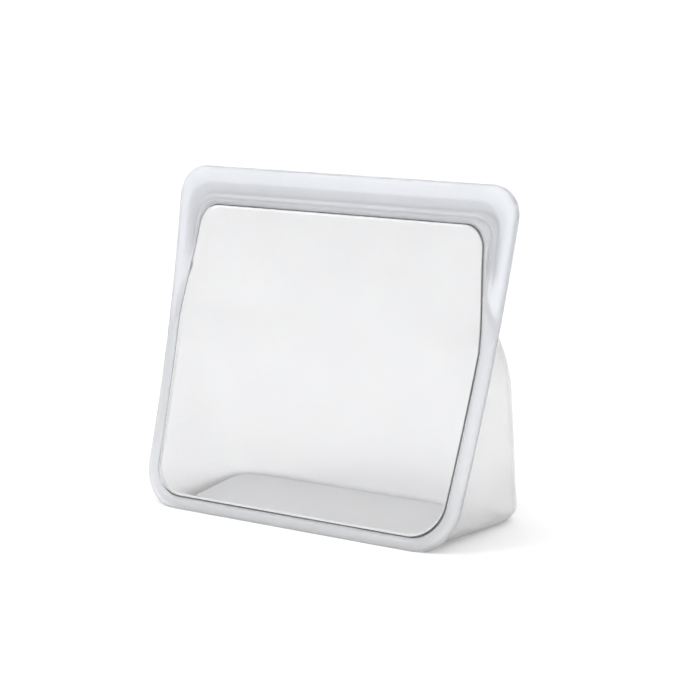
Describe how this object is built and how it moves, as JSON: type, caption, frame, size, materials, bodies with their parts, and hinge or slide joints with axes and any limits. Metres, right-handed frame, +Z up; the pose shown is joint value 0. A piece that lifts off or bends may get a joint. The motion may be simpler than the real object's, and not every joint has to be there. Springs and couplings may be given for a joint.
{
  "type": "reusable silicone bag",
  "caption": "Stand-up food bag of translucent silicone with a framed front window, a squared pouch and a pinch zip along the top.",
  "frame": {"origin": "middle of the bag's footprint on the surface it stands on", "axes": "+X to the right across the front window, +Y from the front window to the rear, +Z up"},
  "size_m": [0.1976, 0.0822, 0.1686],
  "materials": {
    "window": "clear glossy silicone",
    "pouch": "milky translucent silicone, satin",
    "rim": "frosted translucent silicone, satin, faintly blue",
    "zip": "frosted translucent silicone, satin"
  },
  "bodies": {
    "pouch": {"front_rim": "rim", "back_rim": "rim", "front_window": "window", "base_panel": "pouch", "gusset_left": "pouch", "gusset_right": "pouch", "back_wall": "pouch", "back_foot": "pouch", "shoulder_right": "pouch", "shoulder_middle": "pouch", "throat_middle": "pouch", "shoulder_left": "pouch", "zip_stop_left": "zip", "zip_stop_right": "zip"},
    "front_flap": {"front_lip": "rim", "front_zip_band": "zip", "channel_rail_outer": "zip", "channel_rail_inner": "zip", "front_window_upper": "window"},
    "back_flap": {"back_lip": "rim", "back_zip_band": "zip", "zip_bead": "zip", "back_panel_right": "pouch", "back_panel_middle": "pouch", "back_panel_left": "pouch"}
  },
  "joints": [
    {"name": "front_fold", "type": "hinge", "parent": "pouch", "child": "front_flap", "pos_m": [0, -0.0006, 0.12751], "axis": [1, 0, 0], "range_deg": [0, 35], "stiffness_Nm_per_rad": 0.08, "springref_deg": -11.46},
    {"name": "back_fold", "type": "hinge", "parent": "pouch", "child": "back_flap", "pos_m": [0, 0.01705, 0.12328], "axis": [-1, 0, 0], "range_deg": [0, 30], "stiffness_Nm_per_rad": 0.08, "springref_deg": -11.46}
  ]
}
